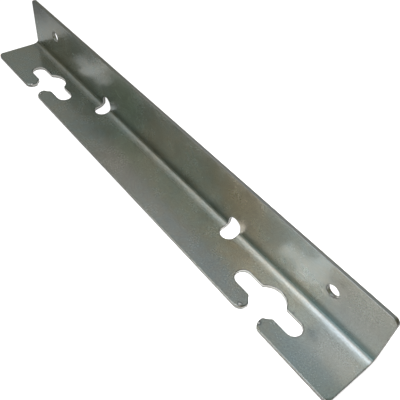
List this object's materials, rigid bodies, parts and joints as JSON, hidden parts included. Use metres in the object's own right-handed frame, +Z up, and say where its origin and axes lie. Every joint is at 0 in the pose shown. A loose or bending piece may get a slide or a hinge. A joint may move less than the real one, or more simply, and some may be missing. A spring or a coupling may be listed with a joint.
{
  "type": "angle bracket",
  "caption": "Long angle bracket folded from plated sheet steel, with T-slots open to the edge of one flange, screw holes in the other and openings across the fold.",
  "frame": {"origin": "middle of the underside of the bracket's box, with the slotted flange lying flat", "axes": "+X along the fold, -Y towards the slotted flange's free edge, +Y out of the upright flange's back, +Z up the upright flange"},
  "size_m": [0.3, 0.031, 0.034],
  "materials": {
    "zinc_steel": "satin zinc plating with a faint green and blue passivation tint, on cold-rolled sheet"
  },
  "bodies": {
    "root": {"angle_bracket": "zinc_steel"}
  },
  "joints": []
}
